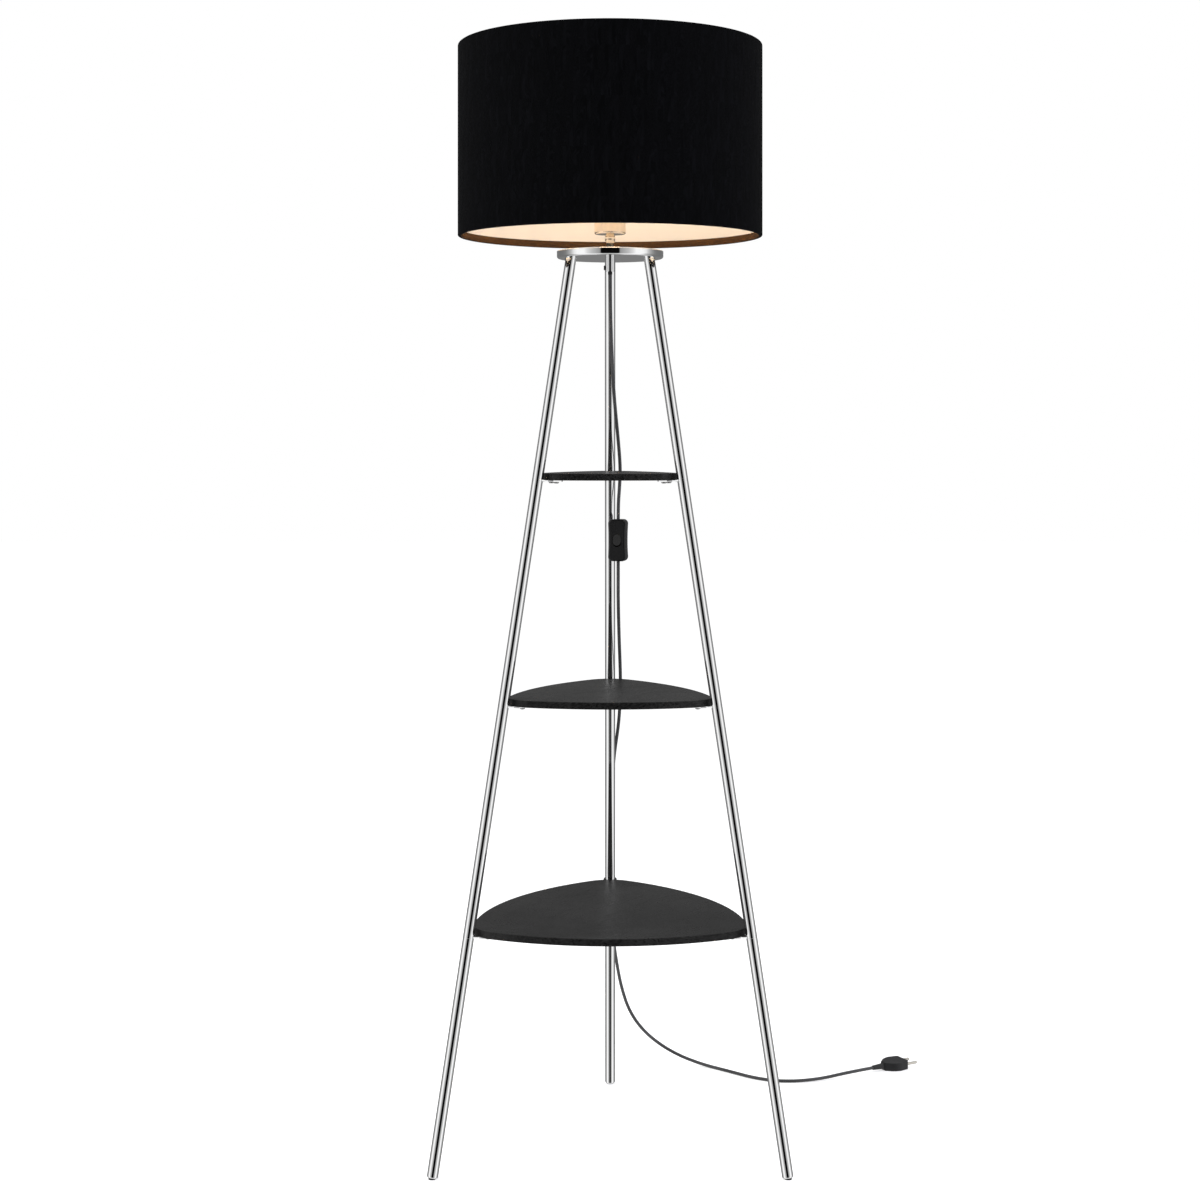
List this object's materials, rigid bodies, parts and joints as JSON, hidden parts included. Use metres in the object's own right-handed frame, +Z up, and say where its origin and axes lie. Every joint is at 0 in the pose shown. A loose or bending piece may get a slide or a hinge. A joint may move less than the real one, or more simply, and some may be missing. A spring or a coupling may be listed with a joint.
{
  "type": "shelf floor lamp",
  "caption": "Floor lamp with leaning chromed tube legs, bowed triangular wooden shelves between them, a round head plate, a dark drum shade and a mains cord with an inline rocker switch.",
  "frame": {"origin": "middle of the footprint's box, on the floor; the lamp's upright axis is 32.18 mm in front of it, because the back leg reaches further out than the shade", "axes": "+Z up; the back leg is towards +Y, the front is towards -Y, and +X is to the right seen from the front"},
  "size_m": [0.6825, 0.5551, 1.444],
  "materials": {
    "chrome": "polished",
    "board": "black wood grain, satin",
    "shade_fabric": "woven",
    "shade_lining": "matt",
    "white_wire": "satin",
    "brown_plastic": "moulded",
    "ceramic": "glazed ceramic",
    "brass": "plain",
    "steel": "zinc plated",
    "opal_glass": "opal",
    "aluminium": "plain",
    "wire_plastic": "insulated wire",
    "black_plastic": "moulded",
    "cord": "smooth sheath"
  },
  "bodies": {
    "lamp": {"bottom_shelf": "board", "bulb_cap": "aluminium", "bulb_glass": "opal_glass", "bulb_tip": "brass", "cord_bush": "black_plastic", "cord_clip": "black_plastic", "cord_grip": "chrome", "cord_lower": "cord", "cord_upper": "cord", "grip_screw": "black_plastic", "holder_base": "brown_plastic", "holder_contact": "brass", "holder_cup": "chrome", "holder_insert": "ceramic", "holder_nut": "steel", "holder_shell": "brass", "holder_sleeve": "brown_plastic", "lead_wires": "wire_plastic", "leg_back_tube_1": "chrome", "leg_back_tube_2": "chrome", "leg_back_tube_3": "chrome", "leg_back_tube_4": "chrome", "leg_bolts": "steel", "leg_glides": "black_plastic", "leg_left_tube_1": "chrome", "leg_left_tube_2": "chrome", "leg_left_tube_3": "chrome", "leg_left_tube_4": "chrome", "leg_right_tube_1": "chrome", "leg_right_tube_2": "chrome", "leg_right_tube_3": "chrome", "leg_right_tube_4": "chrome", "leg_studs": "steel", "middle_shelf": "board", "plate_washer": "chrome", "plug_body": "black_plastic", "plug_pins": "brass", "shade_carrier": "white_wire", "shade_fabric": "shade_fabric", "shade_lining": "shade_lining", "shade_nut_lower": "brown_plastic", "shade_nut_upper": "brown_plastic", "shade_top_hoop": "white_wire", "shelf_brackets": "chrome", "shelf_screws": "steel", "stem_collar": "chrome", "switch_back": "black_plastic", "switch_contacts": "brass", "switch_front": "black_plastic", "switch_screws": "steel", "threaded_pipe": "chrome", "top_plate": "chrome", "top_shelf": "board"},
    "rocker": {"switch_rocker": "black_plastic"}
  },
  "joints": [
    {"name": "rocker_tilt", "type": "hinge", "parent": "lamp", "child": "rocker", "pos_m": [0.01006, 0.05992, 0.7895], "axis": [0.9781, -0.2079, 0], "range_deg": [0, 14]}
  ]
}
